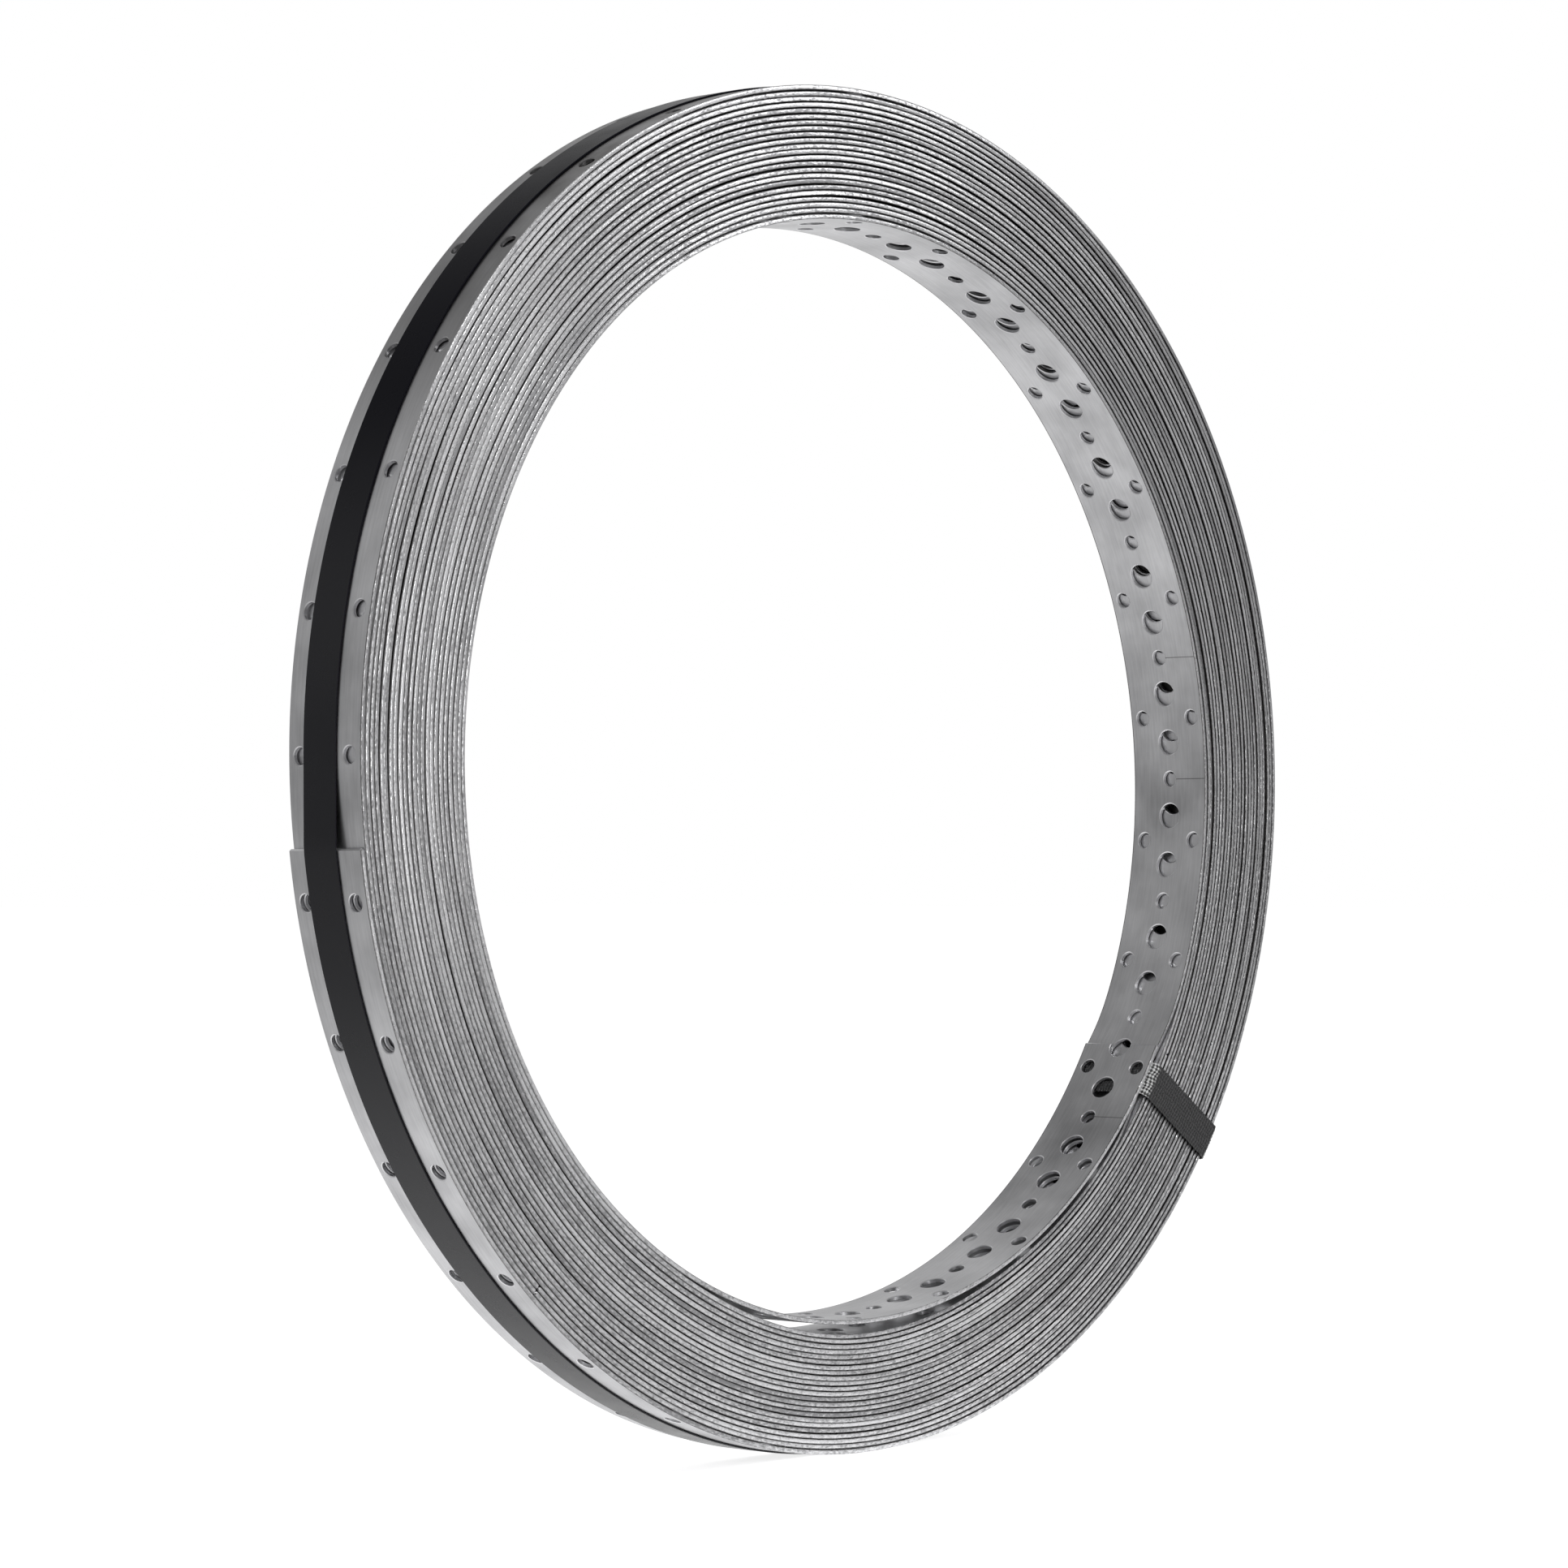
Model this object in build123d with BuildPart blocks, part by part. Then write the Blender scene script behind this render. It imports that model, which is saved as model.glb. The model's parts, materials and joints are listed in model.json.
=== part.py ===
"""Coil of perforated galvanised steel strap, held by a strapping band and a tie.

The coil stands on its rim. Its axis is Y, Z is up and the origin is the bore's centre.
Angles are measured in the XZ plane, from X towards Z.
"""

from math import cos, pi, radians, sin
import os

from build123d import *

os.makedirs("parts", exist_ok=True)

# Punched strip
strip_width = 30.0
strip_thickness = 1.5
hole_pitch = 40.0
small_hole_diameter = 5.0
large_hole_diameter = 8.0
pair_edge_distance = 5.0
large_hole_offset = 8.0

# Wound coil
bore_diameter = 329.5
turn_count = 23
turn_gap = 0.228
edge_setback = 0.5
turns_per_step = 3
punch_sides = 8
seam_angle = 1.8

# Free inner end, sprung off the turn behind it
inner_end_angle = -31.5
lap_spring_angle = -62.0
lap_middle_angle = -90.0
lap_closing_angle = -122.0
lap_gap = 3.6
lap_end_gap = 1.1
inner_taper_angle = 70.0

# Free outer end, a step on the rim
outer_end_angle = 187.1
outer_step = 1.8
outer_taper_angle = 75.0

# Strapping band round the rim
band_width = 13.0
band_thickness = 0.5
band_offset = 1.4
band_clearance = 0.12
tail_start_angle = -42.0
tail_leave_angle = -58.5
tail_end_angle = -63.3
tail_lift = 0.7

# Tie looped across the winding
tie_angle = -35.4
tie_width = 12.0
tie_thickness = 0.6
tie_clearance = 0.15
tie_bend_radius = 0.3

# Angles and sizes that follow
full_turn = 360.0
half_turn = full_turn / 2
top_angle = full_turn / 4
pair_spacing = strip_width - 2 * pair_edge_distance
bore_radius = bore_diameter / 2
turn_pitch = strip_thickness + turn_gap
winding_build = turn_count * turn_pitch
outer_radius = bore_radius + winding_build
winding_radius = bore_radius + winding_build / 2
inner_strip_length = 2 * pi * (bore_radius + strip_thickness / 2)
outer_strip_length = 2 * pi * (outer_radius - strip_thickness / 2)

# Whole hole units in a turn, so that pairs of holes stand on the halves and the quarters
inner_unit_count = 2 * round(inner_strip_length / hole_pitch / 2)
outer_unit_count = 4 * round(outer_strip_length / hole_pitch / 4)
cut_reach = strip_width / 2
cut_depth = strip_width + edge_setback
lap_radius = bore_radius + strip_thickness


def at(radius, angle):
    """Point in the coil's plane at a radius and an angle in degrees."""
    return Vector(radius * cos(radians(angle)), radius * sin(radians(angle)))


def taper(turned, full_turn):
    """Share of a step's depth left where a tangent arc has turned this far."""
    return (1 - cos(radians(turned))) / (1 - cos(radians(full_turn)))


def radial_plane(radius, angle, axial):
    """Plane whose normal points away from the coil's axis."""
    spot = at(radius, angle)
    outward = at(1, angle)
    return Plane(
        origin=(spot.X, axial, spot.Y),
        x_dir=(0, 1, 0),
        z_dir=(outward.X, 0, outward.Y),
    )


# Depths of the two end steps, measured from the round walls
inner_step = strip_thickness + lap_end_gap
inner_taper_end = inner_end_angle + inner_taper_angle
inner_taper_middle = inner_end_angle + inner_taper_angle / 2
outer_taper_end = outer_end_angle - outer_taper_angle
outer_taper_middle = outer_end_angle - outer_taper_angle / 2


def inner_surface_radius(angle):
    """Radius of the innermost turn's inner face at an angle."""
    turned = inner_taper_end - angle
    if 0 < turned < inner_taper_angle:
        return bore_radius + inner_step * taper(turned, inner_taper_angle)
    return bore_radius


def outer_surface_radius(angle):
    """Radius of the outermost turn's outer face at an angle."""
    turned = angle - outer_taper_end
    if 0 < turned < outer_taper_angle:
        return outer_radius - outer_step * taper(turned, outer_taper_angle)
    return outer_radius


# Wound strip: the edges of every second group of turns are set back, so that turns show.
# It is turned from a seam that lies between holes.
with BuildPart() as strip_coil:
    with BuildSketch(Plane.XY.rotated((0, -seam_angle, 0))):
        with Locations((winding_radius, 0)):
            Rectangle(winding_build, strip_width)
        set_back_places = [
            (
                bore_radius + (turn + turns_per_step / 2) * turn_pitch,
                side * (strip_width - edge_setback) / 2,
            )
            for turn in range(1, turn_count - 2 * turns_per_step, 2 * turns_per_step)
            for side in (-1, 1)
        ]
        with Locations(*set_back_places):
            Rectangle(turns_per_step * turn_pitch, edge_setback, mode=Mode.SUBTRACT)
    revolve(axis=Axis.Y)

    # Crescent between the sprung inner lap and the turn behind it
    with BuildSketch(Plane.XZ):
        with BuildLine():
            ThreePointArc(
                at(lap_radius, lap_closing_angle),
                at(lap_radius + lap_gap, lap_middle_angle),
                at(lap_radius + lap_end_gap, lap_spring_angle),
            )
            ThreePointArc(
                at(lap_radius + lap_end_gap, lap_spring_angle),
                at(lap_radius + lap_end_gap, (lap_spring_angle + inner_end_angle) / 2),
                at(lap_radius + lap_end_gap, inner_end_angle),
            )
            Line(at(lap_radius + lap_end_gap, inner_end_angle), at(lap_radius, inner_end_angle))
            ThreePointArc(
                at(lap_radius, inner_end_angle),
                at(lap_radius, lap_middle_angle),
                at(lap_radius, lap_closing_angle),
            )
        make_face()
    extrude(amount=cut_depth, both=True, mode=Mode.SUBTRACT)

    # Step beyond the inner end, running out on the bore
    with BuildSketch(Plane.XZ):
        with BuildLine():
            Line(
                at(bore_radius - cut_reach, inner_end_angle),
                at(bore_radius + inner_step, inner_end_angle),
            )
            ThreePointArc(
                at(bore_radius + inner_step, inner_end_angle),
                at(inner_surface_radius(inner_taper_middle), inner_taper_middle),
                at(bore_radius, inner_taper_end),
            )
            Line(
                at(bore_radius, inner_taper_end),
                at(bore_radius - cut_reach, inner_end_angle),
            )
        make_face()
    extrude(amount=cut_depth, both=True, mode=Mode.SUBTRACT)

    # Step beyond the outer end, running out on the rim
    with BuildSketch(Plane.XZ):
        with BuildLine():
            Line(
                at(outer_radius + cut_reach, outer_end_angle),
                at(outer_radius - outer_step, outer_end_angle),
            )
            ThreePointArc(
                at(outer_radius - outer_step, outer_end_angle),
                at(outer_surface_radius(outer_taper_middle), outer_taper_middle),
                at(outer_radius, outer_taper_end),
            )
            Line(at(outer_radius, outer_taper_end), at(outer_radius + cut_reach, outer_taper_end))
            ThreePointArc(
                at(outer_radius + cut_reach, outer_taper_end),
                at(outer_radius + cut_reach, outer_taper_middle),
                at(outer_radius + cut_reach, outer_end_angle),
            )
        make_face()
    extrude(amount=cut_depth, both=True, mode=Mode.SUBTRACT)

    # Punched holes of the innermost turn, counted from the top of the bore
    round_planes = []
    small_planes = []
    large_planes = []
    inner_unit_angle = full_turn / inner_unit_count
    large_turn = large_hole_offset / hole_pitch * inner_unit_angle
    for unit in range(inner_unit_count):
        pair_angle = top_angle - unit * inner_unit_angle
        pair_planes = round_planes if unit in (0, inner_unit_count // 2) else small_planes
        for axial in (-pair_spacing / 2, pair_spacing / 2):
            pair_planes.append(radial_plane(inner_surface_radius(pair_angle), pair_angle, axial))
        middle_angle = pair_angle - inner_unit_angle / 2
        small_planes.append(radial_plane(inner_surface_radius(middle_angle), middle_angle, 0))
        for angle in (pair_angle - large_turn, pair_angle + large_turn):
            large_planes.append(radial_plane(inner_surface_radius(angle), angle, 0))

    # Hole pairs of the outermost turn; its middle row is under the strapping band
    outer_unit_angle = full_turn / outer_unit_count
    for unit in range(outer_unit_count):
        pair_angle = unit * outer_unit_angle
        pair_planes = small_planes if unit % (outer_unit_count // 4) else round_planes
        for axial in (-pair_spacing / 2, pair_spacing / 2):
            pair_planes.append(radial_plane(outer_surface_radius(pair_angle), pair_angle, axial))

    # Pairs on the four quarters are round; the many like holes between have fewer faces
    with BuildSketch(*round_planes):
        Circle(small_hole_diameter / 2)
    extrude(amount=turn_pitch, both=True, mode=Mode.SUBTRACT)
    with BuildSketch(*small_planes):
        RegularPolygon(small_hole_diameter / 2, punch_sides, major_radius=False)
    extrude(amount=turn_pitch, both=True, mode=Mode.SUBTRACT)
    with BuildSketch(*large_planes):
        RegularPolygon(large_hole_diameter / 2, punch_sides, major_radius=False)
    extrude(amount=turn_pitch, both=True, mode=Mode.SUBTRACT)
strip_coil.part.label = "strip_coil"
export_step(strip_coil.part, "parts/strip_coil.step")

# Strapping band, drawn tight round the rim, so that it bridges the outer end's step
with BuildSketch(Plane.XZ) as rim_outline:
    with BuildLine():
        ThreePointArc(
            at(outer_radius, outer_end_angle),
            at(outer_radius, outer_taper_middle + half_turn),
            at(outer_radius, outer_taper_end),
        )
        ThreePointArc(
            at(outer_radius, outer_taper_end),
            at(outer_surface_radius(outer_taper_middle), outer_taper_middle),
            at(outer_radius - outer_step, outer_end_angle),
        )
    make_hull()

band_outside = outer_radius + band_clearance + band_thickness
tail_inside = band_outside - band_thickness / 2
tail_outside = band_outside + band_thickness

with BuildPart() as outer_strap:
    with BuildSketch(Plane.XZ.offset(-band_offset)):
        offset(
            rim_outline.sketch_local,
            amount=band_clearance + band_thickness,
            kind=Kind.INTERSECTION,
        )
        offset(
            rim_outline.sketch_local,
            amount=band_clearance,
            kind=Kind.INTERSECTION,
            mode=Mode.SUBTRACT,
        )

        # Lapped end, which stands off the rim at its tip
        with BuildLine():
            ThreePointArc(
                at(tail_outside, tail_start_angle),
                at(tail_outside, (tail_start_angle + tail_leave_angle) / 2),
                at(tail_outside, tail_leave_angle),
            )
            Line(
                at(tail_outside, tail_leave_angle),
                at(tail_outside + tail_lift, tail_end_angle),
            )
            Line(
                at(tail_outside + tail_lift, tail_end_angle),
                at(band_outside + tail_lift, tail_end_angle),
            )
            Line(
                at(band_outside + tail_lift, tail_end_angle),
                at(tail_inside, tail_leave_angle),
            )
            ThreePointArc(
                at(tail_inside, tail_leave_angle),
                at(tail_inside, (tail_start_angle + tail_leave_angle) / 2),
                at(tail_inside, tail_start_angle),
            )
            Line(at(tail_inside, tail_start_angle), at(tail_outside, tail_start_angle))
        make_face()
    extrude(amount=band_width / 2, both=True)
outer_strap.part.label = "outer_strap"
export_step(outer_strap.part, "parts/outer_strap.step")

# Tie, through the crescent inside and over the strapping band outside
tie_inside = lap_radius + tie_clearance
tie_outside = band_outside + tie_clearance + tie_thickness
tie_length = strip_width + 2 * (tie_clearance + tie_thickness)
tie_direction = at(1, tie_angle)
tie_plane = Plane(
    origin=(0, 0, 0),
    x_dir=(tie_direction.X, 0, tie_direction.Y),
    z_dir=(-tie_direction.Y, 0, tie_direction.X),
)

with BuildPart() as binding_tie:
    with BuildSketch(tie_plane):
        with Locations(((tie_inside + tie_outside) / 2, 0)):
            RectangleRounded(tie_outside - tie_inside, tie_length, tie_bend_radius + tie_thickness)
            RectangleRounded(
                tie_outside - tie_inside - 2 * tie_thickness,
                tie_length - 2 * tie_thickness,
                tie_bend_radius,
                mode=Mode.SUBTRACT,
            )
    extrude(amount=tie_width / 2, both=True)
binding_tie.part.label = "binding_tie"
export_step(binding_tie.part, "parts/binding_tie.step")
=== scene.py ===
"""Coil of punched, galvanised steel strap with its strapping band and woven tie.

The strip is punched flat and then wound: its radius, gaps and free ends follow the CAD coil.
Lengths are in metres and angles in radians, measured in the XZ plane from X towards Z.
"""

import json
from math import acos, ceil, cos, hypot, pi, radians, sin, tau

import bmesh
import bpy
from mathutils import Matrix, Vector


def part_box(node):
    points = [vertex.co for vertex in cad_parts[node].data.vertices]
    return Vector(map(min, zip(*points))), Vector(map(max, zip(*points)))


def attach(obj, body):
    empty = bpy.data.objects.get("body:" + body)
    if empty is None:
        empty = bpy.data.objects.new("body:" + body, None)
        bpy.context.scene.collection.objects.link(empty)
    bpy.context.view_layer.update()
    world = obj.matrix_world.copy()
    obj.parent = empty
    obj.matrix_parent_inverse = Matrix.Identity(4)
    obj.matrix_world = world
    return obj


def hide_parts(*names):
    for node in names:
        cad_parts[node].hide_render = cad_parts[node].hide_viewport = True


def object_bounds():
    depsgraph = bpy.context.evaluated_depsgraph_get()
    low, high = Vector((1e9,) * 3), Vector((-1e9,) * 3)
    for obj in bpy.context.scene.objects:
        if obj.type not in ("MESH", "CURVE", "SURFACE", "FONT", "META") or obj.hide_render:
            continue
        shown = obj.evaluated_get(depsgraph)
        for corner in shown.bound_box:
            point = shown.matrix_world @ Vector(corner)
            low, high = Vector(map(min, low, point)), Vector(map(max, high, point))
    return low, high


MM = 0.001

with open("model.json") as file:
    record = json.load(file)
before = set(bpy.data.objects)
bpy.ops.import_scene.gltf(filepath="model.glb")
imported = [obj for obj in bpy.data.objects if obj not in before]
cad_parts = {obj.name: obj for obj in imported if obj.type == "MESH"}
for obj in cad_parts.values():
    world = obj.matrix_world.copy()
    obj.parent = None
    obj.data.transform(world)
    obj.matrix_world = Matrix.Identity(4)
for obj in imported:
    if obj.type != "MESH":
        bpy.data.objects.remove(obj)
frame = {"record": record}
cad_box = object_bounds()

# Sizes that come from the frame
mounts = {mount["name"]: mount for mount in frame["record"]["mounts"]}
bore_radius = mounts["bore"]["dims"]["r_mm"] * MM
strip_width = mounts["bore"]["dims"]["length_mm"] * MM
outer_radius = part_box("strip_coil")[1][2]
band_low, band_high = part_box("outer_strap")

# Punched strip
strip_thickness = 1.38 * MM
edge_round = 0.4 * MM
edge_break = 0.13 * MM
edge_profile = ((1.0, 0.0), (0.45, 0.43), (0.0, 1.35))
hole_pitch = 40.0 * MM
pair_spacing = 20.0 * MM
large_hole_offset = 8.0 * MM
small_hole_radius = 2.5 * MM
large_hole_radius = 4.0 * MM
small_hole_sides = 20
large_hole_sides = 28
rim_width = 0.3 * MM
rim_depth = 0.2 * MM
end_ease = 0.45 * MM
face_column = 2.5 * MM
hidden_column = 6.0 * MM
crisp_angle = radians(28)

# Winding
inner_end = radians(-31.5)
lap_spring = radians(-62.0)
lap_closing = radians(-122.0)
lap_gap = 2.9 * MM
lap_end_gap = 1.1 * MM
lap_clearance = 0.1 * MM
inner_taper = radians(70.0)
outer_end = radians(187.1)
outer_taper = radians(75.0)
layer_count = 23
edge_wander = 0.42 * MM
edge_wander_gain = 2.6
edge_overreach = 0.2 * MM
visible_width = strip_width - 2 * edge_wander + edge_overreach
slack_gain = 1.7
slack_limit = 0.46

# Tie looped across the winding
tie_angle = radians(-35.4)
tie_pull = 2.1 * MM
tie_pull_reach = 0.1

# Scratches from a small hole to the front edge, on the innermost turn
scratch_angles = (radians(13.85), 0.0, radians(-41.5))
scratch_width = 0.3 * MM

# Patch of painted shade at the upper left of the outermost turn, where the band is dull too
shade_patch_angle = radians(122.0)
shade_patch_reach = radians(34.0)
dull_angle = radians(126.0)

# Painted shade in the grooves between turns is wider at the lower left
wide_shade_angle = radians(200.0)

# Turn angle runs from the inner end, clockwise as the photograph shows the coil
last_turn = layer_count * tau + (inner_end - outer_end) % tau
closing_turn = inner_end - lap_closing
spring_turn = inner_end - lap_spring
tied_turn = tau + inner_end - tie_angle
scratch_turns = [(inner_end - angle) % tau for angle in scratch_angles]
# Middle of the painted shade patch on the outermost turn, in turns from the inner end
shade_patch_turn = last_turn - (shade_patch_angle - outer_end) % tau
body_turns = (last_turn - closing_turn) / tau
layer_pitch = (outer_radius - strip_thickness - bore_radius) / int(body_turns)
inner_unit_turn = tau / round(tau * (bore_radius + strip_thickness / 2) / hole_pitch)
outer_unit_turn = tau / round(tau * (outer_radius - strip_thickness / 2) / hole_pitch)

# Runs of the strip, each punched on its own hole pitch
backing_unit_turn = hole_pitch / (bore_radius + 2 * layer_pitch)
under_rim_unit_turn = hole_pitch / (outer_radius - 1.5 * layer_pitch)
lap_over = radians(40)
inner_stop = tau + lap_over
backing_stop = 3 * tau
under_rim_start = last_turn - 2 * tau - lap_over
rim_start = last_turn - tau - lap_over
backing_pair_shift = 0.13
under_rim_pair_shift = 0.08


def polar(radius, angle):
    """Point in the coil's plane."""
    return Vector((radius * cos(angle), radius * sin(angle)))


def circle_through(first, second, third):
    """Centre and radius of the circle through three points."""
    ax, ay = first
    bx, by = second
    cx, cy = third
    twice = 2 * (ax * (by - cy) + bx * (cy - ay) + cx * (ay - by))
    a2, b2, c2 = first.length_squared, second.length_squared, third.length_squared
    x = (a2 * (by - cy) + b2 * (cy - ay) + c2 * (ay - by)) / twice
    y = (a2 * (cx - bx) + b2 * (ax - cx) + c2 * (bx - ax)) / twice
    return x, y, hypot(ax - x, ay - y)


def tangent_arc(radius, tangent_angle, step, end_angle):
    """Circle that leaves a round wall smoothly and has moved by a step at an end angle."""
    half = (tangent_angle + end_angle) / 2
    share = (1 - cos(half - tangent_angle)) / (1 - cos(end_angle - tangent_angle))
    return circle_through(
        polar(radius, tangent_angle),
        polar(radius + share * step, half),
        polar(radius + step, end_angle),
    )


# Steps and arcs on which the free ends leave the round walls
inner_step = strip_thickness + lap_end_gap + lap_clearance
lap_rise = strip_thickness + lap_gap - (inner_step + layer_pitch) / 2
rim_arc = tangent_arc(outer_radius, outer_end - outer_taper, -layer_pitch, outer_end)


class Field:
    """A number that varies over a surface, written as a sum and built as math nodes."""

    def __init__(self, tree, socket):
        self.tree = tree
        self.socket = socket

    def math(self, operation, other=None, swapped=False):
        node = self.tree.nodes.new("ShaderNodeMath")
        node.operation = operation
        terms = (other, self) if swapped else (self, other)
        for socket, term in zip(node.inputs, terms):
            if isinstance(term, Field):
                self.tree.links.new(term.socket, socket)
            elif term is not None:
                socket.default_value = term
        return Field(self.tree, node.outputs[0])

    def __add__(self, other):
        return self.math("ADD", other)

    def __sub__(self, other):
        return self.math("SUBTRACT", other)

    def __rsub__(self, other):
        return self.math("SUBTRACT", other, swapped=True)

    def __mul__(self, other):
        return self.math("MULTIPLY", other)

    def __truediv__(self, other):
        return self.math("DIVIDE", other)

    def __lt__(self, other):
        return self.math("LESS_THAN", other)

    def where(self, chosen, otherwise):
        """The first value where this field is one, and the second where it is zero."""
        if isinstance(chosen, Field):
            return chosen * self + (1 - self) * otherwise
        return self * chosen + (1 - self) * otherwise


def arc_radius(arc, cosine, sine):
    """Distance from the coil's axis to an arc, in the direction that a sine and cosine give."""
    x, y, radius = arc
    along = cosine * x + sine * y
    across = sine * x - cosine * y
    return along + (radius * radius - across * across).math("SQRT")


def ramp(value, start, end, low, high):
    """Smooth change from one number to another."""
    node = value.tree.nodes.new("ShaderNodeMapRange")
    node.interpolation_type = "SMOOTHSTEP"
    value.tree.links.new(value.socket, node.inputs["Value"])
    for label, number in (("From Min", start), ("From Max", end), ("To Min", low), ("To Max", high)):
        node.inputs[label].default_value = number
    return Field(value.tree, node.outputs[0])


def new_tree(name, sockets):
    """Geometry node tree with named inputs and one geometry in and out."""
    tree = bpy.data.node_groups.new(name, "GeometryNodeTree")
    tree.interface.new_socket("Geometry", in_out="INPUT", socket_type="NodeSocketGeometry")
    tree.interface.new_socket("Geometry", in_out="OUTPUT", socket_type="NodeSocketGeometry")
    for label, kind in sockets:
        tree.interface.new_socket(label, in_out="INPUT", socket_type="NodeSocket" + kind)
    return tree


def wind_tree():
    """Tree that punches a flat strip and winds it into its place in the coil."""
    tree = new_tree(
        "punch_and_wind",
        (
            ("First Pair", "Float"),
            ("Pair Count", "Int"),
            ("Hole Pitch", "Float"),
            ("Pair Spacing", "Float"),
            ("Large Hole Offset", "Float"),
            ("Small Punch", "Object"),
            ("Large Punch", "Object"),
            ("Start Turn", "Float"),
            ("Turn Per Metre", "Float"),
            ("Edge Wander", "Float"),
            ("Material", "Material"),
        ),
    )
    nodes, link = tree.nodes, tree.links.new
    given = nodes.new("NodeGroupInput").outputs

    def number(name):
        return Field(tree, given[name])

    def vector(x=None, y=None, z=None):
        node = nodes.new("ShaderNodeCombineXYZ")
        for socket, term in zip(node.inputs, (x, y, z)):
            if term is not None:
                link(term.socket, socket)
        return node.outputs[0]

    def hole_row(along, across=None):
        row = nodes.new("GeometryNodeMeshLine")
        link(given["Pair Count"], row.inputs["Count"])
        link(vector(along, across), row.inputs["Start Location"])
        link(vector(number("Hole Pitch")), row.inputs["Offset"])
        return row.outputs[0]

    def punches(rows, punch):
        joined = nodes.new("GeometryNodeJoinGeometry")
        for row in rows:
            link(row, joined.inputs[0])
        source = nodes.new("GeometryNodeObjectInfo")
        link(given[punch], source.inputs["Object"])
        placed = nodes.new("GeometryNodeInstanceOnPoints")
        link(joined.outputs[0], placed.inputs["Points"])
        link(source.outputs["Geometry"], placed.inputs["Instance"])
        real = nodes.new("GeometryNodeRealizeInstances")
        link(placed.outputs[0], real.inputs[0])
        return real.outputs[0]

    # Rows of holes: a pair across the strip, a large hole each side of it, one between pairs
    pair_line = number("First Pair")
    half_spacing = number("Pair Spacing") * 0.5
    small_rows = (
        hole_row(pair_line, half_spacing),
        hole_row(pair_line, half_spacing * -1.0),
        hole_row(pair_line + number("Hole Pitch") * 0.5),
    )
    large_rows = (
        hole_row(pair_line + number("Large Hole Offset")),
        hole_row(pair_line - number("Large Hole Offset")),
    )
    punched = nodes.new("GeometryNodeMeshBoolean")
    punched.operation = "DIFFERENCE"
    punched.solver = "MANIFOLD"
    link(given["Geometry"], punched.inputs["Mesh 1"])
    link(punches(small_rows, "Small Punch"), punched.inputs["Mesh 2"])
    link(punches(large_rows, "Large Punch"), punched.inputs["Mesh 2"])
    is_punched = nodes.new("GeometryNodeSwitch")
    is_punched.input_type = "GEOMETRY"
    link((0.5 - (number("Pair Count") < 0.5)).socket, is_punched.inputs["Switch"])
    link(given["Geometry"], is_punched.inputs["False"])
    link(punched.outputs["Mesh"], is_punched.inputs["True"])

    # Place in the flat strip
    flat = nodes.new("ShaderNodeSeparateXYZ")
    link(nodes.new("GeometryNodeInputPosition").outputs[0], flat.inputs[0])
    along, across, depth = (Field(tree, output) for output in flat.outputs)
    turn = number("Start Turn") + along * number("Turn Per Metre")
    angle = inner_end - turn
    cosine, sine = angle.math("COSINE"), angle.math("SINE")

    # Layers share the space between the innermost and the outermost face at each angle
    body = (turn - closing_turn) / tau
    layer = body.math("FLOOR")
    part_turn = body - layer
    behind_lap = (part_turn * tau < tau - closing_turn).math("SUBTRACT", 1.0, swapped=True)
    on_recess = (part_turn * tau < tau - closing_turn - inner_taper).where(0.0, 1 - behind_lap)
    lap_turn = part_turn * tau - (tau - closing_turn)
    sunk = ((lap_turn / inner_taper * pi).math("COSINE") + 1.0) * (inner_step / 2)
    sprung = ((lap_turn - spring_turn) / (closing_turn - spring_turn)).math("MAXIMUM", 0.0)
    hump = (sprung * pi).math("SINE").math("POWER", 2.0) * lap_rise
    inner_face = behind_lap.where(
        sprung * (layer_pitch - inner_step) + hump + bore_radius + inner_step,
        on_recess.where(sunk + bore_radius, bore_radius),
    )
    rim_turn = (body_turns - part_turn).math("FRACT")
    on_rim = (rim_turn * tau - (tau - outer_taper)).math("LESS_THAN", 0.0)
    outer_face = on_rim.where(outer_radius, arc_radius(rim_arc, cosine, sine)) - strip_thickness
    outer_layer = (body_turns - part_turn).math("FLOOR")
    pitch = (outer_face - inner_face) / outer_layer
    spread = inner_face + pitch * layer
    free_lap = turn < closing_turn

    # Slack and edges wander a little from turn to turn
    def wander(frequency, seed):
        noise = nodes.new("ShaderNodeTexNoise")
        noise.noise_dimensions = "1D"
        noise.inputs["Scale"].default_value = 1.0
        noise.inputs["Detail"].default_value = 1.0
        link((turn * frequency + seed).socket, noise.inputs["W"])
        return Field(tree, noise.outputs[0]) - 0.5

    inside_stack = (layer < 0.5).where(0.0, 1 - (outer_layer - 0.5 < layer))
    play = wander(1.1, 40.0) * slack_gain
    play = play.math("MINIMUM", slack_limit).math("MAXIMUM", -slack_limit)
    slack = (pitch - strip_thickness) * play * inside_stack
    radius = free_lap.where(bore_radius, spread + slack) + depth
    pulled = ((turn - tied_turn) / tie_pull_reach).math("POWER", 4.0) + 1.0
    axial = across + wander(0.37, 7.0) * number("Edge Wander") * edge_wander_gain
    axial = axial + pulled.math("DIVIDE", tie_pull, swapped=True)

    named = nodes.new("GeometryNodeStoreNamedAttribute")
    named.data_type = "FLOAT_VECTOR"
    named.domain = "POINT"
    named.inputs["Name"].default_value = "flat_place"
    link(is_punched.outputs[0], named.inputs["Geometry"])
    link(vector(turn, across, depth), named.inputs["Value"])
    placed = nodes.new("GeometryNodeSetPosition")
    link(named.outputs[0], placed.inputs["Geometry"])
    link(vector(radius * cosine, axial, radius * sine), placed.inputs["Position"])

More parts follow.
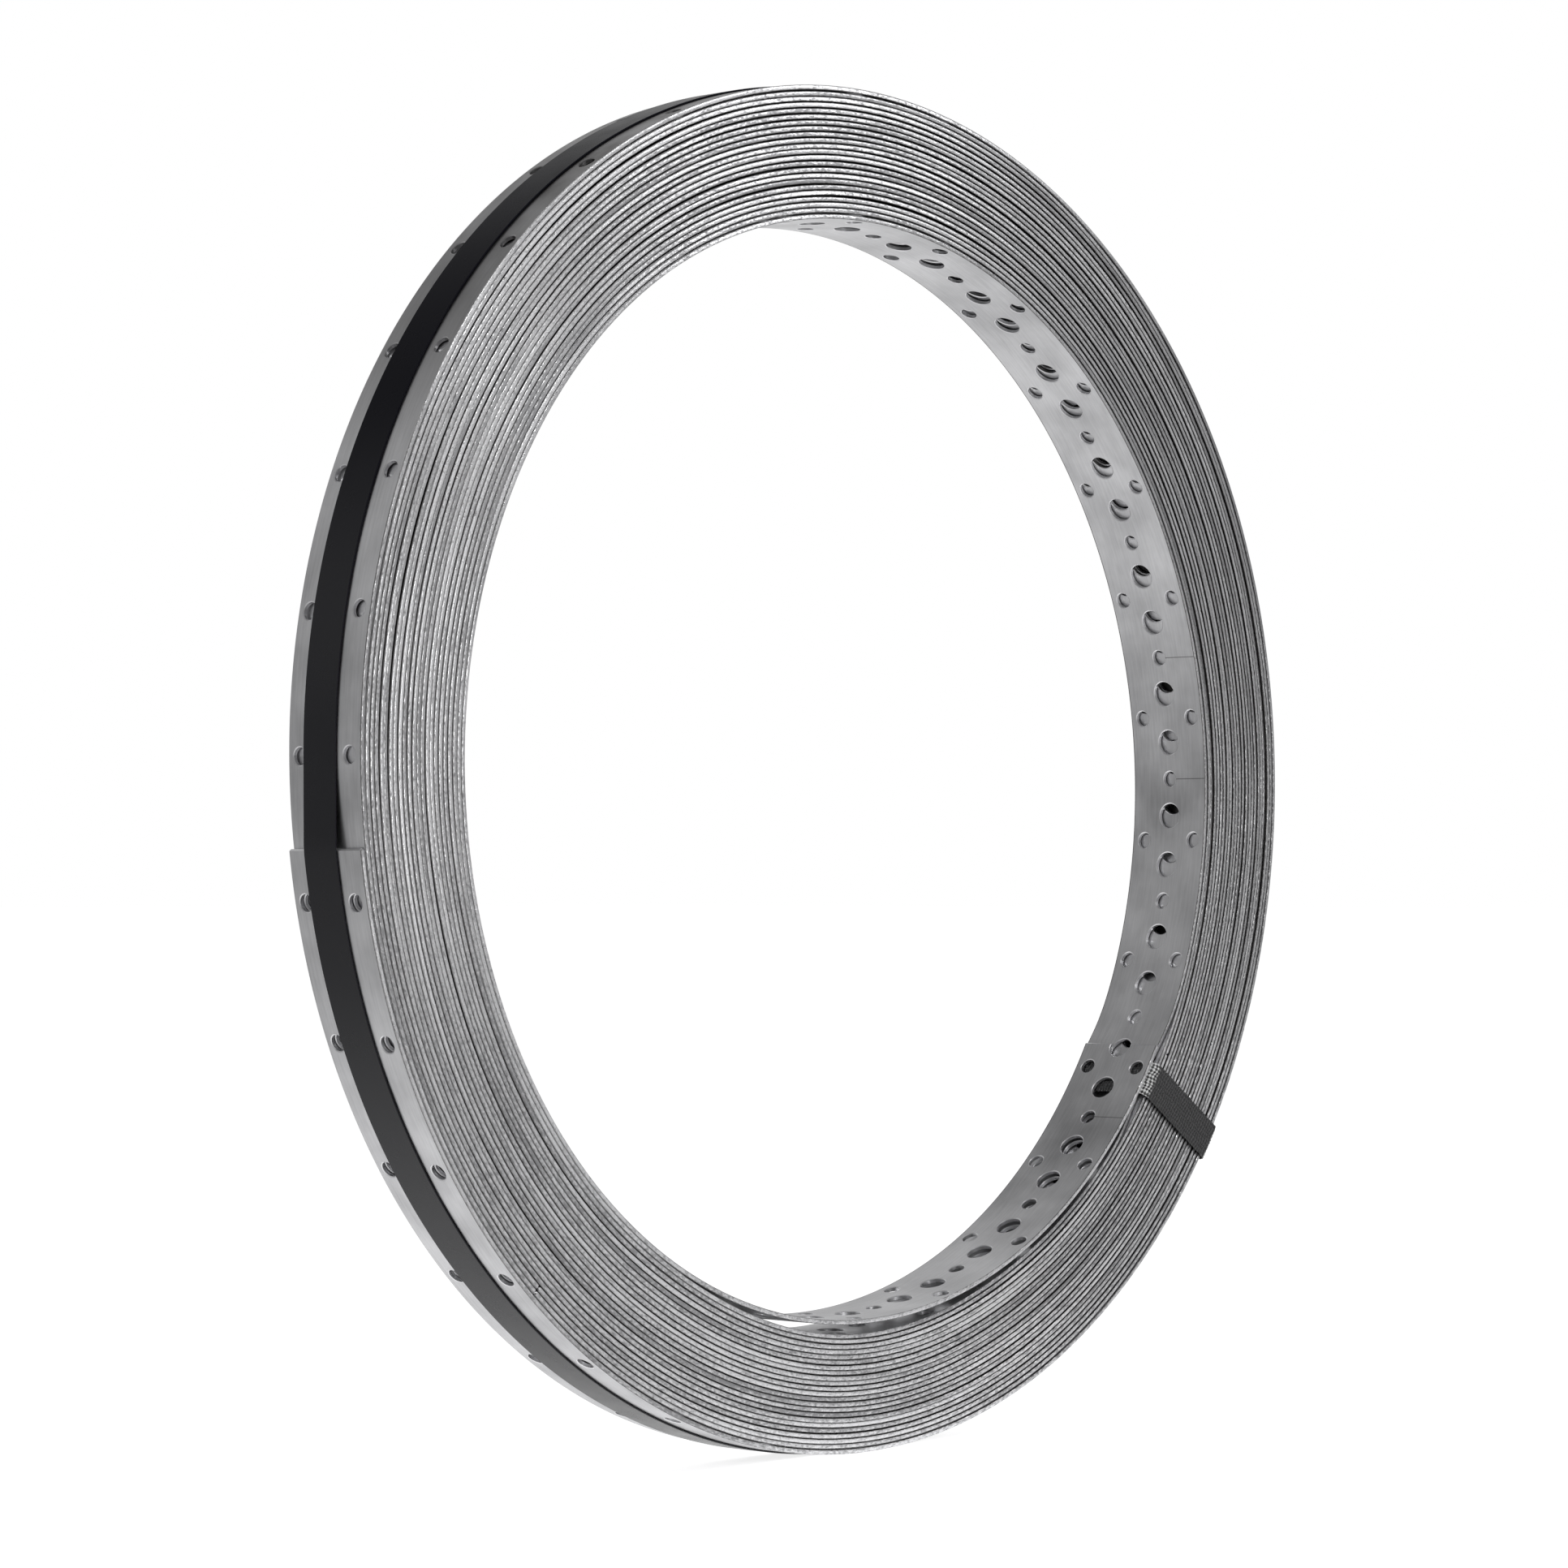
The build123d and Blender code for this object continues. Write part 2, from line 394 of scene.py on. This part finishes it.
    # Smooth faces, crisp edges
    bend = nodes.new("GeometryNodeInputMeshEdgeAngle")
    smooth = nodes.new("GeometryNodeSetShadeSmooth")
    smooth.domain = "FACE"
    link(placed.outputs[0], smooth.inputs["Geometry"])
    crisp = nodes.new("GeometryNodeSetShadeSmooth")
    crisp.domain = "EDGE"
    link(smooth.outputs[0], crisp.inputs["Geometry"])
    link((1 - (Field(tree, bend.outputs[0]) < crisp_angle)).socket, crisp.inputs["Selection"])
    crisp.inputs["Shade Smooth"].default_value = False
    real = nodes.new("GeometryNodeRealizeInstances")
    link(crisp.outputs[0], real.inputs[0])
    coated = nodes.new("GeometryNodeSetMaterial")
    link(real.outputs[0], coated.inputs["Geometry"])
    link(given["Material"], coated.inputs["Material"])
    link(coated.outputs[0], nodes.new("NodeGroupOutput").inputs[0])
    return tree


def new_object(name, mesh):
    """Object in the scene that shows a mesh."""
    piece = bpy.data.objects.new(name, mesh)
    bpy.context.scene.collection.objects.link(piece)
    return piece


def lofted(name, rings, closed=False):
    """Mesh through rings of points, capped unless its ends meet."""
    mesh = bpy.data.meshes.new(name)
    form = bmesh.new()
    loops = [[form.verts.new(point) for point in ring] for ring in rings]
    pairs = list(zip(loops, loops[1:]))
    if closed:
        pairs.append((loops[-1], loops[0]))
    count = len(loops[0])
    for low, high in pairs:
        for place in range(count):
            beside = (place + 1) % count
            form.faces.new((low[place], high[place], high[beside], low[beside]))
    if not closed:
        form.faces.new(loops[0])
        form.faces.new(reversed(loops[-1]))
    bmesh.ops.recalc_face_normals(form, faces=form.faces)
    form.to_mesh(mesh)
    form.free()
    return new_object(name, mesh)


def strip_section(width):
    """Section of the strip across its width: slit edges are rolled over on the outer side."""
    side = width / 2
    half = [(side - edge_break, 0.0), (side, edge_break)]
    half += [
        (side - edge_round * inset, strip_thickness - edge_round * drop)
        for inset, drop in reversed(edge_profile)
    ]
    return half + [(-y, z) for y, z in reversed(half)]


def flat_strip(name, length, column_length):
    """Straight strip with a small chamfer round its cut ends."""
    columns = ceil(length / column_length)
    section = strip_section(visible_width)
    inset = 1 - 2 * end_ease / strip_thickness
    cut = [(y - end_ease * (1 if y > 0 else -1), end_ease + z * inset) for y, z in section]
    middle = [end_ease + (length - 2 * end_ease) * i / columns for i in range(columns + 1)]
    places = [(0.0, cut), *((x, section) for x in middle), (length, cut)]
    return lofted(name, [[(x, y, z) for y, z in shape] for x, shape in places])


def punch(name, radius, sides):
    """Punch that leaves a small bevelled rim on both faces of the strip."""
    profile = (
        (-rim_depth, radius + 2 * rim_width),
        (rim_depth, radius),
        (strip_thickness - rim_depth, radius),
        (strip_thickness + rim_depth, radius + 2 * rim_width),
    )
    steps = [tau * i / sides for i in range(sides)]
    return lofted(
        name,
        [[(r * cos(a), r * sin(a), z) for a in steps] for z, r in profile],
    )


def frozen(piece):
    """The piece with its modifiers made into a plain mesh."""
    graph = bpy.context.evaluated_depsgraph_get()
    mesh = bpy.data.meshes.new_from_object(piece.evaluated_get(graph))
    piece.modifiers.clear()
    piece.data = mesh
    return piece


def wound_strip(name, turns, unit_turn, first_pair_turn, material):
    """One run of the strip between two turn angles, with holes where it has a first pair."""
    start, end = turns
    turn_per_metre = unit_turn / hole_pitch
    length = (end - start) / turn_per_metre
    piece = flat_strip(name, length, hidden_column if first_pair_turn is None else face_column)
    wind = piece.modifiers.new("wind", "NODES")
    wind.node_group = winding
    pair_count = 0
    first_pair = 0.0
    if first_pair_turn is not None:
        first_pair = (first_pair_turn - start) / turn_per_metre
        first_pair -= ceil(first_pair / hole_pitch) * hole_pitch
        pair_count = ceil(length / hole_pitch) + 2
    for label, value in (
        ("First Pair", first_pair),
        ("Pair Count", pair_count),
        ("Hole Pitch", hole_pitch),
        ("Pair Spacing", pair_spacing),
        ("Large Hole Offset", large_hole_offset),
        ("Small Punch", small_punch),
        ("Large Punch", large_punch),
        ("Start Turn", start),
        ("Turn Per Metre", turn_per_metre),
        ("Edge Wander", edge_wander),
        ("Material", material),
    ):
        wind[winding.interface.items_tree[label].identifier] = value
    return frozen(piece)


def new_material(name, base, metallic, roughness):
    """Plain material, to which the finishes below add their own nodes."""
    material = bpy.data.materials.new(name)
    material.use_nodes = True
    shader = material.node_tree.nodes["Principled BSDF"]
    shader.inputs["Base Color"].default_value = (*base, 1)
    shader.inputs["Metallic"].default_value = metallic
    shader.inputs["Roughness"].default_value = roughness
    return material


def galvanised_steel():
    """Dull zinc: drawn along the strip on its faces, speckled and streaked on its sheared edges."""
    material = new_material("galvanised_steel", (0.6, 0.61, 0.64), 1.0, 0.36)
    tree = material.node_tree
    nodes, link = tree.nodes, tree.links.new
    shader = nodes["Principled BSDF"]
    place = nodes.new("ShaderNodeAttribute")
    place.attribute_name = "flat_place"
    parts = nodes.new("ShaderNodeSeparateXYZ")
    link(place.outputs["Vector"], parts.inputs[0])
    turn, across, depth = (Field(tree, output) for output in parts.outputs)

    def noise(socket, scale, detail, dimensions="3D"):
        node = nodes.new("ShaderNodeTexNoise")
        node.noise_dimensions = dimensions
        node.inputs["Scale"].default_value = scale
        node.inputs["Detail"].default_value = detail
        link(socket, node.inputs["W" if dimensions == "1D" else "Vector"])
        return Field(tree, node.outputs[0])

    where = nodes.new("ShaderNodeTexCoord").outputs["Object"]
    grain_place = nodes.new("ShaderNodeCombineXYZ")
    link((turn * bore_radius).socket, grain_place.inputs[0])
    link((across * 14.0).socket, grain_place.inputs[1])
    grain = noise(grain_place.outputs[0], 90.0, 4.0)
    speck_place = nodes.new("ShaderNodeCombineXYZ")
    link((turn * bore_radius * 0.6).socket, speck_place.inputs[0])
    link(across.socket, speck_place.inputs[1])
    link(depth.socket, speck_place.inputs[2])
    cloud = noise(where, 55.0, 3.0)
    speckle = noise(speck_place.outputs[0], 1600.0, 2.0)
    wave = noise(where, 18.0, 1.0)
    streak = noise(turn.socket, 5.0, 5.0, "1D")
    turn_tone = noise(turn.socket, 0.8, 1.0, "1D")

    # Sheared edge, one where the strip's width ends, with painted shade in the groove towards its faces
    edge = 1 - (across.math("ABSOLUTE") < visible_width / 2 - 0.9 * edge_round)
    level = depth / strip_thickness
    axes = nodes.new("ShaderNodeSeparateXYZ")
    link(where, axes.inputs[0])
    # Painted shade in the grooves is wider towards the lower left
    towards_wide_shade = Field(tree, axes.outputs["X"]) * cos(wide_shade_angle)
    towards_wide_shade = towards_wide_shade + Field(tree, axes.outputs["Z"]) * sin(wide_shade_angle)
    groove_shade_power = ramp(towards_wide_shade / outer_radius, 0.4, 0.88, 11.0, 3.2)
    groove_shade = (level.math("POWER", groove_shade_power) + (1 - level).math("POWER", 10.0)) * edge

    # Faces that only the gaps between turns show, painted dark as the shade in the gaps
    gap_shade = (turn < under_rim_start) * (1 - (turn < backing_stop)) * (1 - edge)

    # Paler colour on hole rims, hole walls and cut ends
    off_face = 0.02 * MM
    cut = (1 - edge) * (1 - (depth < off_face)) * (depth < strip_thickness - off_face)

    face_roughness = grain * 0.1 + cloud * 0.12 + 0.26
    edge_roughness = 0.9 - speckle * 1.0
    link(edge.where(edge_roughness, face_roughness).socket, shader.inputs["Roughness"])

    edge_tone = speckle * 2.6 + streak * 1.2 + turn_tone * 1.9 - 2.25
    tone = edge.where(edge_tone, cloud * 1.1 + grain * 0.5 - 0.3) + cut * 0.9
    colour = nodes.new("ShaderNodeMix")
    colour.data_type = "RGBA"
    link(tone.socket, colour.inputs["Factor"])
    colour.inputs["A"].default_value = (0.38, 0.38, 0.39, 1)
    colour.inputs["B"].default_value = (0.85, 0.85, 0.865, 1)

    # Dark places: painted shade in the grooves between turns and on faces seen only through the gaps, a
    # few scratches, and a patch of painted shade on the outermost turn
    scratched = across < -small_hole_radius
    near_scratch = 0.0
    for scratch_turn in scratch_turns:
        near = (turn - scratch_turn).math("ABSOLUTE") < scratch_width / bore_radius / 2
        near_scratch = near + near_scratch
    # Patch of painted shade at the upper left of the outermost turn, mottled by the cloud noise
    shade_patch = ((turn - shade_patch_turn) / shade_patch_reach).math("POWER", 2.0)
    shade_patch = (1 - shade_patch).math("MAXIMUM", 0.0) * cloud * (1 - edge)
    shade_and_scratches = groove_shade * 0.85 + gap_shade * 0.9 + scratched * near_scratch * (1 - edge) * 0.6 + shade_patch * 1.3
    shade_and_scratch_mix = nodes.new("ShaderNodeMix")
    shade_and_scratch_mix.data_type = "RGBA"
    link(shade_and_scratches.socket, shade_and_scratch_mix.inputs["Factor"])
    link(colour.outputs["Result"], shade_and_scratch_mix.inputs["A"])
    # Near-black colour for the painted shade and the scratches
    shade_and_scratch_mix.inputs["B"].default_value = (0.055, 0.05, 0.048, 1)
    link(shade_and_scratch_mix.outputs["Result"], shader.inputs["Base Color"])

    relief = nodes.new("ShaderNodeBump")
    relief.inputs["Strength"].default_value = 0.4
    relief.inputs["Distance"].default_value = 0.15 * MM
    edge_lean = (noise(turn.socket, 0.9, 1.0, "1D") - 0.5) * depth * 8000.0
    edge_relief = speckle * 1.6 + edge_lean
    link(edge.where(edge_relief, grain * 0.08 + wave * 10.0).socket, relief.inputs["Height"])
    link(relief.outputs[0], shader.inputs["Normal"])
    return material


def black_strapping():
    """Black plastic, duller at its upper left."""
    material = new_material("black_strapping", (0.01, 0.01, 0.0145), 0.0, 0.28)
    tree = material.node_tree
    nodes, link = tree.nodes, tree.links.new
    where = nodes.new("ShaderNodeTexCoord")
    scuff = nodes.new("ShaderNodeTexNoise")
    scuff.inputs["Scale"].default_value = 120.0
    scuff.inputs["Detail"].default_value = 4.0
    link(where.outputs["Object"], scuff.inputs["Vector"])
    rough = Field(tree, scuff.outputs[0]) * 0.16 + 0.18
    link(rough.socket, nodes["Principled BSDF"].inputs["Roughness"])
    place = nodes.new("ShaderNodeSeparateXYZ")
    link(where.outputs["Object"], place.inputs[0])
    across, _, up = (Field(tree, output) for output in place.outputs)
    towards_dull = across * cos(dull_angle) + up * sin(dull_angle)
    gloss = ramp(towards_dull / outer_radius, 0.66, 0.92, 0.36, 0.03)
    link(gloss.socket, nodes["Principled BSDF"].inputs["Specular IOR Level"])
    return material


# Wound strip
zinc = galvanised_steel()
winding = wind_tree()
small_punch = punch("small_punch", small_hole_radius, small_hole_sides)
large_punch = punch("large_punch", large_hole_radius, large_hole_sides)

# Hole pairs stand on the coil's quarters, as in the CAD coil
inner_pair_turn = inner_end - pi / 2
outer_pair_turn = last_turn + outer_end - pi
backing_pair_turn = inner_stop + backing_pair_shift
under_rim_pair_turn = under_rim_start + under_rim_pair_shift

runs = (
    ("strip_inner_turn", (0.0, inner_stop), inner_unit_turn, inner_pair_turn),
    ("strip_inner_backing", (inner_stop, backing_stop), backing_unit_turn, backing_pair_turn),
    ("strip_middle_turns", (backing_stop, under_rim_start), backing_unit_turn, None),
    ("strip_under_rim", (under_rim_start, rim_start), under_rim_unit_turn, under_rim_pair_turn),
    ("strip_outer_turn", (rim_start, last_turn), outer_unit_turn, outer_pair_turn),
)
strip_pieces = [wound_strip(name, turns, unit, pair, zinc) for name, turns, unit, pair in runs]
for tool in (small_punch, large_punch):
    bpy.data.objects.remove(tool)


def chord_radius(start, end, angle):
    """Distance from the coil's axis to a straight line, in a direction."""
    return start.cross(end - start) / polar(1, angle).cross(end - start)


def rim_radius(angle):
    """Radius on which the strapping band lies: the rim, bridged where the strip's end steps."""
    turned = (outer_end - angle) % tau
    if turned >= outer_taper:
        return outer_radius
    x, y, radius = rim_arc
    end = polar(outer_radius, outer_end)
    corner = end - Vector((x, y))
    touch_angle = corner.to_2d().angle_signed(Vector((1, 0))) - acos(radius / corner.length)
    touch = Vector((x, y)) + polar(radius, touch_angle)
    ray = polar(1, angle)
    if touch.cross(ray) > 0:
        return chord_radius(touch, end, angle)
    along, across = ray.dot(Vector((x, y))), ray.cross(Vector((x, y)))
    return along + (radius * radius - across * across) ** 0.5


# Strapping band round the rim
band_gap = 0.12 * MM
band_thickness = band_high[2] - outer_radius - band_gap
band_middle = (band_low[1] + band_high[1]) / 2
band_width = band_high[1] - band_low[1]
band_ease = 0.12 * MM
band_steps = 480
tail_start = radians(-42.0)
tail_leave = radians(-58.5)
tail_end = radians(-63.3)
tail_lift = 0.7 * MM
tail_steps = 48


def band_ring(angle, inside):
    """Eased section of the band at an angle, from its inside radius."""
    outside = inside + band_thickness
    half = band_width / 2
    section = (
        (inside, -half + band_ease),
        (inside + band_ease, -half),
        (outside - band_ease, -half),
        (outside, -half + band_ease),
        (outside, half - band_ease),
        (outside - band_ease, half),
        (inside + band_ease, half),
        (inside, half - band_ease),
    )
    return [(r * cos(angle), band_middle + y, r * sin(angle)) for r, y in section]


def tail_radius(angle):
    """Inside of the band's lapped end, which stands off the rim at its tip."""
    lapped = outer_radius + band_gap + band_thickness
    if angle > tail_leave:
        return lapped
    return chord_radius(polar(lapped, tail_leave), polar(lapped + tail_lift, tail_end), angle)


band_angles = [tau * i / band_steps for i in range(band_steps)]
tail_angles = [tail_start + (tail_end - tail_start) * i / tail_steps for i in range(tail_steps + 1)]
band = lofted(
    "strapping_band",
    [band_ring(angle, rim_radius(angle) + band_gap) for angle in band_angles],
    closed=True,
)
tail = lofted("strapping_tail", [band_ring(angle, tail_radius(angle)) for angle in tail_angles])
strapping = black_strapping()

# Woven tie, a loop across the winding
tie_width = 12.0 * MM
tie_thickness = 0.6 * MM
tie_inset = 1.65 * MM
tie_standoff = 0.92 * MM
tie_side_gap = 0.15 * MM
tie_inside = bore_radius + tie_inset + tie_thickness / 2
tie_outside = outer_radius + tie_standoff + tie_thickness / 2
tie_front = strip_width / 2 + tie_side_gap + tie_thickness / 2
tie_bend = 0.6 * MM
tie_rim_bend = 1.8 * MM
tie_front_bend = 3.2 * MM
tie_bend_steps = 8
weave_depth = 0.2 * MM
weave_pitch = 2.3 * MM
# Reach of the painted highlight round the front bend of the tie
bend_highlight_reach = 2.4 * MM
weave_step = 0.3 * MM
weave_column = 1.3 * weave_step


def tie_path():
    """Points, normals and lengths round the loop, in the radial and axial directions."""
    corners = (
        (tie_outside, -tie_front, tie_rim_bend, -pi / 2),
        (tie_outside, tie_front, tie_bend, 0),
        (tie_inside, tie_front, tie_bend, pi / 2),
        (tie_inside, -tie_front, tie_front_bend, pi),
    )
    outline = []
    for reach, side, bend, start in corners:
        inward = Vector((cos(start + pi / 4), sin(start + pi / 4))) * bend * 2**0.5
        centre = Vector((reach, side)) - inward
        for i in range(tie_bend_steps + 1):
            angle = start + pi / 2 * i / tie_bend_steps
            normal = Vector((cos(angle), sin(angle)))
            outline.append((centre + normal * bend, normal))
    path = []
    length = 0.0
    for (here, normal), (there, next_normal) in zip(outline, outline[1:] + outline[:1]):
        count = max(1, round((there - here).length / weave_step))
        for i in range(count):
            share = i / count
            path.append((here.lerp(there, share), normal.lerp(next_normal, share).normalized(), length))
            length += (there - here).length / count
    return path


def weave(along, across):
    """Height of the uneven diagonal embossing, from minus one to one."""
    lead, drift = tau * along / weave_pitch, tau * across / weave_pitch
    over = sin(lead + drift + 0.9 * sin(drift / 3.1 + 1.4 * sin(lead / 4.7)))
    under = sin(lead - drift + 0.9 * sin(lead / 3.7 + 1.7 * sin(drift / 2.3)))
    return over * under


def tie_ring(spot, normal, length):
    """Embossed section across the tie; notes the weave and the share of the painted bend highlight at
    each point.
    """
    columns = round(tie_width / weave_column)
    outward = Vector((cos(tie_angle), 0, sin(tie_angle)))
    sideways = Vector((-sin(tie_angle), 0, cos(tie_angle)))
    ring = []
    for side in (1, -1):
        for i in range(columns + 1):
            across = side * (i / columns - 0.5) * tie_width
            lift = side * tie_thickness / 2 * (1 - (2 * across / tie_width) ** 8 * 0.6)
            height = weave(length, across)
            point = spot + normal * (lift + weave_depth * height)
            ring.append(outward * point.x + Vector((0, point.y, 0)) + sideways * across)
            weave_heights.append(height)
            # Share of the painted highlight, falling off from the middle of the front bend
            bend_highlight.append(max(0.0, 1 - ((spot - front_bend_middle).length / bend_highlight_reach) ** 2))
    return ring


def woven_plastic():
    """Dark plastic, paler on the ridges of its weave, with a painted highlight on the ridges where it
    is bent.
    """
    material = new_material("grey_tie", (0.06, 0.06, 0.062), 0.0, 0.2)
    tree = material.node_tree
    ridge = tree.nodes.new("ShaderNodeAttribute")
    ridge.attribute_name = "weave"
    colour = tree.nodes.new("ShaderNodeMix")
    colour.data_type = "RGBA"
    height = Field(tree, ridge.outputs["Fac"])
    tree.links.new((height * 0.5 + 0.5).socket, colour.inputs["Factor"])
    colour.inputs["A"].default_value = (0.01, 0.01, 0.011, 1)
    colour.inputs["B"].default_value = (0.06, 0.06, 0.062, 1)
    # Painted highlight on the ridges of the weave near the front bend
    bend_highlight_node = tree.nodes.new("ShaderNodeAttribute")
    bend_highlight_node.attribute_name = "bend_highlight"
    highlight_mix = tree.nodes.new("ShaderNodeMix")
    highlight_mix.data_type = "RGBA"
    share = Field(tree, bend_highlight_node.outputs["Fac"]) * (height * 2.2 + 0.4).math("MAXIMUM", 0.0)
    tree.links.new(share.socket, highlight_mix.inputs["Factor"])
    tree.links.new(colour.outputs["Result"], highlight_mix.inputs["A"])
    highlight_mix.inputs["B"].default_value = (0.8, 0.8, 0.8, 1)
    tree.links.new(highlight_mix.outputs["Result"], tree.nodes["Principled BSDF"].inputs["Base Color"])
    return material


front_corner = Vector((tie_inside, -tie_front))
front_bend_middle = front_corner + Vector((1, 1)) * tie_front_bend * (1 - 0.5**0.5)
# Weave heights and shares of the painted bend highlight, noted as the tie is built
weave_heights = []
bend_highlight = []
tie = lofted("woven_tie", [tie_ring(*place) for place in tie_path()], closed=True)
for label, values in (("weave", weave_heights), ("bend_highlight", bend_highlight)):
    tie.data.attributes.new(label, "FLOAT", "POINT").data.foreach_set("value", values)
sharp_angle = radians(40)
for piece, material in ((band, strapping), (tail, strapping), (tie, woven_plastic())):
    piece.data.materials.append(material)
    piece.data.shade_smooth()
    piece.data.set_sharp_from_angle(angle=sharp_angle)

for piece in strip_pieces:
    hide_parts("strip_coil")
for piece in (band, tail):
    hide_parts("outer_strap")
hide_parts("binding_tie")
for piece in (*strip_pieces, band, tail, tie):
    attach(piece, "root")


def seen_by(tree, ray):
    """One on rays of a kind, and zero on others."""
    return Field(tree, tree.nodes.new("ShaderNodeLightPath").outputs[ray])


# White floor that keeps a soft shadow, paler near the coil where the steel mirrors it
floor_top = cad_box[0][2] - 0.1 * MM
floor_reach = 30.0
floor_depth = 0.01
floor_corners = [(x * floor_reach, y * floor_reach) for x, y in ((-1, -1), (1, -1), (1, 1), (-1, 1))]
floor = lofted(
    "floor",
    [[(x, y, floor_top - z) for x, y in floor_corners] for z in (floor_depth, 0.0)],
)
floor_material = new_material("white_floor", (0.8, 0.8, 0.8), 0.0, 1.0)
floor_tree = floor_material.node_tree
floor_shader = floor_tree.nodes["Principled BSDF"]
floor_shader.inputs["Specular IOR Level"].default_value = 0.0
floor_shader.inputs["Emission Color"].default_value = (1, 1, 1, 1)
distance = floor_tree.nodes.new("ShaderNodeVectorMath")
distance.operation = "LENGTH"
floor_place = floor_tree.nodes.new("ShaderNodeTexCoord").outputs["Object"]
floor_tree.links.new(floor_place, distance.inputs[0])
floor_axes = floor_tree.nodes.new("ShaderNodeSeparateXYZ")
floor_tree.links.new(floor_place, floor_axes.inputs[0])
near_glow = ramp(Field(floor_tree, distance.outputs["Value"]), 0.1, 0.6, 0.6, 0.0)
far_glow = ramp(Field(floor_tree, floor_axes.outputs["X"]), 0.0, 0.8, 0.15, 0.6)
front_share = ramp(Field(floor_tree, floor_axes.outputs["Y"]), -0.1, 0.02, 0.35, 1.0)
mirrored = (near_glow + far_glow) * front_share
floor_glow = seen_by(floor_tree, "Is Glossy Ray") * mirrored
floor_glow = seen_by(floor_tree, "Is Camera Ray") * 0.8 + floor_glow
floor_tree.links.new(floor_glow.socket, floor_shader.inputs["Emission Strength"])
floor.data.materials.append(floor_material)

# Backdrop, white to the camera; the steel mirrors it paler behind the coil and darker above
world = bpy.data.worlds.new("studio")
bpy.context.scene.world = world
world.use_nodes = True
sky_tree = world.node_tree
backdrop = sky_tree.nodes["Background"]
backdrop.inputs["Color"].default_value = (1, 1, 1, 1)
direction = sky_tree.nodes.new("ShaderNodeSeparateXYZ")
sky_place = sky_tree.nodes.new("ShaderNodeTexCoord").outputs["Generated"]
sky_tree.links.new(sky_place, direction.inputs[0])
right, rear, up = (Field(sky_tree, output) for output in direction.outputs)

behind = ramp(up - right * 0.25, 0.66, 0.77, 0.62, 0.18) * (right * 0.42 + 0.8)
left = (right * -1.0).math("MAXIMUM", 0.0)
behind = behind * ((up - 0.1) * left * 2.4 + 1.0)
before = ramp(right * 0.55 - rear * 0.78 + up * 0.3, 0.86, 0.98, 0.22, 0.45)
surround = ramp(rear, 0.15, 0.6, 0.0, 1.0).where(behind, before)
seen = seen_by(sky_tree, "Is Camera Ray").where(1.0, surround)
sky_tree.links.new(seen.socket, backdrop.inputs["Strength"])


def softbox(name, place, size, power):
    """Area lamp that faces the coil's middle."""
    light = bpy.data.lights.new(name, "AREA")
    light.shape = "RECTANGLE"
    light.size, light.size_y = size
    light.energy = power
    lamp = bpy.data.objects.new(name, light)
    lamp.location = place
    lamp.rotation_euler = Vector(place).to_track_quat("Z", "Y").to_euler()
    bpy.context.scene.collection.objects.link(lamp)
    return lamp


softbox("key", (0.95, -0.78, 1.1), (0.8, 0.8), 6)
softbox("front", (-0.4, -1.5, 0.1), (0.5, 0.9), 5.6)
softbox("top", (-0.5, -1.0, 1.25), (0.3, 0.3), 3.4)

# Camera at the photograph's angle; offsets are in the photograph's pixels
photo_side = 1932
focal_pixels = 5691
camera_azimuth = radians(-47.76)
camera_elevation = radians(-1.46)
camera_distance = 6.829 * outer_radius
centre_offset = (56.4, 17.7)

camera_data = bpy.data.cameras.new("camera")
camera_data.sensor_width = 36
camera_data.lens = camera_data.sensor_width * focal_pixels / photo_side
camera = bpy.data.objects.new("camera", camera_data)
back = Vector(
    (
        sin(camera_azimuth) * cos(camera_elevation),
        -cos(camera_azimuth) * cos(camera_elevation),
        sin(camera_elevation),
    )
)
facing = back.to_track_quat("Z", "Y").to_matrix()
aim = facing @ Vector((-centre_offset[0], -centre_offset[1], 0)) * camera_distance / focal_pixels
camera.location = back * camera_distance
camera.rotation_euler = (camera.location - aim).to_track_quat("Z", "Y").to_euler()
bpy.context.scene.collection.objects.link(camera)
bpy.context.scene.camera = camera
bpy.context.scene.view_settings.view_transform = "Standard"
